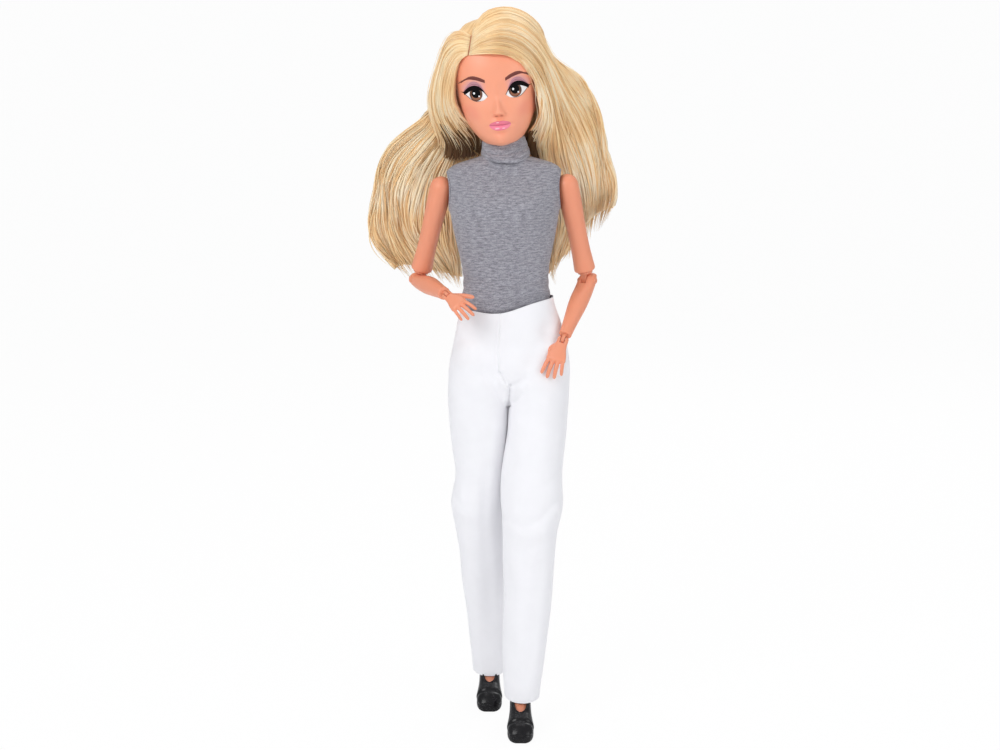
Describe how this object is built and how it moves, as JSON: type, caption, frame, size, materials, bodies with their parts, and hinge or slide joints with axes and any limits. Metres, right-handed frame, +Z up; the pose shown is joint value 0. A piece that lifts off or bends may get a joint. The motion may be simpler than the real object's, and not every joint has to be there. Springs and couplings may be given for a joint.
{
  "type": "jointed fashion doll",
  "caption": "Fully jointed fashion doll with long loose hair, painted face, sleeveless turtleneck top, long trousers and platform ankle boots.",
  "frame": {"origin": "floor level, under the centre of the standing doll's outline", "axes": "+Z up, -Y the way the doll faces, +X at the doll's own left hand"},
  "size_m": [0.1052, 0.0736, 0.2983],
  "materials": {
    "skin_vinyl": "satin",
    "joint_plastic": "satin",
    "hair_fibre": "satin",
    "knit_fabric": "matte",
    "trouser_fabric": "matte",
    "boot_vinyl": "gloss"
  },
  "bodies": {
    "pelvis": {"pelvis_back": "skin_vinyl", "pelvis_front": "skin_vinyl", "trousers_closure": "trouser_fabric", "trousers_seat": "trouser_fabric"},
    "waist_swivel": {"waist_swivel": "joint_plastic"},
    "waist_cross": {"waist_cross": "joint_plastic"},
    "chest": {"chest_back": "skin_vinyl", "chest_front": "skin_vinyl", "knit_top": "knit_fabric", "top_closure": "knit_fabric", "turtleneck_collar": "knit_fabric"},
    "neck_cross": {"neck_cross": "joint_plastic"},
    "neck_plug": {"neck_plug": "joint_plastic"},
    "head": {"back_hair_fall": "hair_fibre", "hair_cap": "hair_fibre", "head_shell": "skin_vinyl", "left_hair_fall": "hair_fibre", "right_hair_fall": "hair_fibre"},
    "left_shoulder_hub": {"left_shoulder_hub": "joint_plastic"},
    "left_upper_arm": {"left_shoulder_pin": "joint_plastic", "left_upper_arm": "skin_vinyl"},
    "left_elbow": {"left_elbow_knuckle": "joint_plastic"},
    "left_forearm": {"left_elbow_pin": "joint_plastic", "left_forearm": "skin_vinyl"},
    "left_wrist": {"left_wrist_knuckle": "joint_plastic"},
    "left_hand": {"left_hand": "skin_vinyl", "left_wrist_pin": "joint_plastic"},
    "left_hip_hub": {"left_hip_hub": "joint_plastic"},
    "left_thigh_top": {"left_hip_pin": "joint_plastic", "left_thigh_top": "skin_vinyl"},
    "left_thigh": {"left_knee_pin": "joint_plastic", "left_thigh": "skin_vinyl", "left_trousers_thigh": "trouser_fabric"},
    "left_shin": {"left_ankle_pin": "joint_plastic", "left_shin": "skin_vinyl", "left_trousers_shin": "trouser_fabric"},
    "left_foot": {"left_boot": "boot_vinyl", "left_foot": "skin_vinyl"},
    "right_shoulder_hub": {"right_shoulder_hub": "joint_plastic"},
    "right_upper_arm": {"right_shoulder_pin": "joint_plastic", "right_upper_arm": "skin_vinyl"},
    "right_elbow": {"right_elbow_knuckle": "joint_plastic"},
    "right_forearm": {"right_elbow_pin": "joint_plastic", "right_forearm": "skin_vinyl"},
    "right_wrist": {"right_wrist_knuckle": "joint_plastic"},
    "right_hand": {"right_hand": "skin_vinyl", "right_wrist_pin": "joint_plastic"},
    "right_hip_hub": {"right_hip_hub": "joint_plastic"},
    "right_thigh_top": {"right_hip_pin": "joint_plastic", "right_thigh_top": "skin_vinyl"},
    "right_thigh": {"right_knee_pin": "joint_plastic", "right_thigh": "skin_vinyl", "right_trousers_thigh": "trouser_fabric"},
    "right_shin": {"right_ankle_pin": "joint_plastic", "right_shin": "skin_vinyl", "right_trousers_shin": "trouser_fabric"},
    "right_foot": {"right_boot": "boot_vinyl", "right_foot": "skin_vinyl"}
  },
  "joints": [
    {"name": "waist_twist", "type": "hinge", "parent": "pelvis", "child": "waist_swivel", "pos_m": [0.00525, 0.00199, 0.18993], "axis": [-0.0262, 0, 0.9997], "range_deg": [-28, 18], "deforming": ["knit_top", "top_closure"]},
    {"name": "waist_side_bend", "type": "hinge", "parent": "waist_swivel", "child": "waist_cross", "pos_m": [0.00525, 0.00199, 0.18993], "axis": [0, 1, 0], "range_deg": [-14, 8], "deforming": ["trousers_seat", "trousers_closure"]},
    {"name": "waist_bow", "type": "hinge", "parent": "waist_cross", "child": "chest", "pos_m": [0.00525, 0.00199, 0.18993], "axis": [0.9997, 0, 0.0262], "range_deg": [-14, 6]},
    {"name": "neck_nod", "type": "hinge", "parent": "chest", "child": "neck_cross", "pos_m": [0.00385, 0.00199, 0.24341], "axis": [0.9997, 0, 0.0262], "range_deg": [-15, 15], "deforming": ["turtleneck_collar", "hair_cap", "back_hair_fall"]},
    {"name": "neck_tilt", "type": "hinge", "parent": "neck_cross", "child": "neck_plug", "pos_m": [0.00385, 0.00199, 0.24341], "axis": [0, 1, 0], "range_deg": [-10, 15], "deforming": ["left_hair_fall", "right_hair_fall"]},
    {"name": "head_turn", "type": "hinge", "parent": "neck_plug", "child": "head", "pos_m": [0.00385, 0.00199, 0.24341], "axis": [-0.1219, 0, 0.9925], "range_deg": [-80, 80]},
    {"name": "left_shoulder_swing", "type": "hinge", "parent": "chest", "child": "left_shoulder_hub", "pos_m": [0.0302, 0.00299, 0.22659], "axis": [-0.9997, 0, -0.0262], "range_deg": [-2, 112]},
    {"name": "left_shoulder_raise", "type": "hinge", "parent": "left_shoulder_hub", "child": "left_upper_arm", "pos_m": [0.0302, 0.00299, 0.22659], "axis": [0.0054, -0.9781, -0.2078], "range_deg": [-6, 74]},
    {"name": "left_elbow_swivel", "type": "hinge", "parent": "left_upper_arm", "child": "left_elbow", "pos_m": [0.03938, 0.01167, 0.18601], "axis": [-0.2159, -0.2041, 0.9549], "range_deg": [-5, 90]},
    {"name": "left_elbow_bend", "type": "hinge", "parent": "left_elbow", "child": "left_forearm", "pos_m": [0.03938, 0.01167, 0.18601], "axis": [-0.8517, 0.5176, -0.0819], "range_deg": [-63.2, 46.8]},
    {"name": "left_wrist_swivel", "type": "hinge", "parent": "left_forearm", "child": "left_wrist", "pos_m": [0.02885, -0.00912, 0.16408], "axis": [0.3289, 0.6496, 0.6854], "range_deg": [-90, 90]},
    {"name": "left_wrist_bend", "type": "hinge", "parent": "left_wrist", "child": "left_hand", "pos_m": [0.02885, -0.00912, 0.16408], "axis": [0.9444, -0.2275, -0.2376], "range_deg": [-45, 30]},
    {"name": "left_hip_swing", "type": "hinge", "parent": "pelvis", "child": "left_hip_hub", "pos_m": [0.01925, 0.00199, 0.14428], "axis": [-0.9997, 0, -0.0262], "range_deg": [-39.5, 58], "deforming": ["left_trousers_thigh"]},
    {"name": "left_hip_spread", "type": "hinge", "parent": "left_hip_hub", "child": "left_thigh_top", "pos_m": [0.01925, 0.00199, 0.14428], "axis": [0.0066, 0.9681, -0.2503], "range_deg": [-41, 1]},
    {"name": "left_thigh_swivel", "type": "hinge", "parent": "left_thigh_top", "child": "left_thigh", "pos_m": [0.01938, -0.00301, 0.12491], "axis": [0.0061, -0.2503, -0.9681], "range_deg": [-40, 40]},
    {"name": "left_knee_bend", "type": "hinge", "parent": "left_thigh", "child": "left_shin", "pos_m": [0.01758, -0.01127, 0.09295], "axis": [1, -0.0048, 0.0076], "range_deg": [-11.6, 78.4], "deforming": ["left_trousers_shin"]},
    {"name": "left_ankle_bend", "type": "hinge", "parent": "left_shin", "child": "left_foot", "pos_m": [0.01259, -0.01478, 0.023], "axis": [1, -0.0048, 0.0076], "range_deg": [-25, 25]},
    {"name": "right_shoulder_swing", "type": "hinge", "parent": "chest", "child": "right_shoulder_hub", "pos_m": [-0.02158, 0.00299, 0.22524], "axis": [-0.9997, 0, -0.0262], "range_deg": [-16, 116.5]},
    {"name": "right_shoulder_raise", "type": "hinge", "parent": "right_shoulder_hub", "child": "right_upper_arm", "pos_m": [-0.02158, 0.00299, 0.22524], "axis": [-0.0074, 0.9588, 0.2839], "range_deg": [-12.5, 70.5]},
    {"name": "right_elbow_swivel", "type": "hinge", "parent": "right_upper_arm", "child": "right_elbow", "pos_m": [-0.03119, 0.01468, 0.18552], "axis": [-0.226, 0.275, -0.9345], "range_deg": [-20, 90]},
    {"name": "right_elbow_bend", "type": "hinge", "parent": "right_elbow", "child": "right_forearm", "pos_m": [-0.03119, 0.01468, 0.18552], "axis": [-0.9122, -0.3963, 0.104], "range_deg": [-106, 4]},
    {"name": "right_wrist_swivel", "type": "hinge", "parent": "right_forearm", "child": "right_wrist", "pos_m": [-0.01868, -0.01469, 0.18329], "axis": [0.3908, -0.9178, -0.0696], "range_deg": [-90, 90]},
    {"name": "right_wrist_bend", "type": "hinge", "parent": "right_wrist", "child": "right_hand", "pos_m": [-0.01868, -0.01469, 0.18329], "axis": [0.7232, 0.2594, 0.6401], "range_deg": [-45, 45]},
    {"name": "right_hip_swing", "type": "hinge", "parent": "pelvis", "child": "right_hip_hub", "pos_m": [-0.00634, 0.00199, 0.14361], "axis": [-0.9997, 0, -0.0262], "range_deg": [-23.1, 91.9], "deforming": ["right_trousers_thigh"]},
    {"name": "right_hip_spread", "type": "hinge", "parent": "right_hip_hub", "child": "right_thigh_top", "pos_m": [-0.00634, 0.00199, 0.14361], "axis": [0.0009, -0.9995, -0.0331], "range_deg": [-36.8, 5.2]},
    {"name": "right_thigh_swivel", "type": "hinge", "parent": "right_thigh_top", "child": "right_thigh", "pos_m": [-0.00662, 0.00266, 0.12362], "axis": [0.014, -0.0331, 0.9994], "range_deg": [-40, 40]},
    {"name": "right_knee_bend", "type": "hinge", "parent": "right_thigh", "child": "right_shin", "pos_m": [-0.00508, 0.00375, 0.09061], "axis": [0.9999, 0.0013, -0.0139], "range_deg": [-13.5, 76.5], "deforming": ["right_trousers_shin"]},
    {"name": "right_ankle_bend", "type": "hinge", "parent": "right_shin", "child": "right_foot", "pos_m": [-0.00055, 0.02214, 0.023], "axis": [0.9999, 0.0013, -0.0139], "range_deg": [-25, 25]}
  ]
}
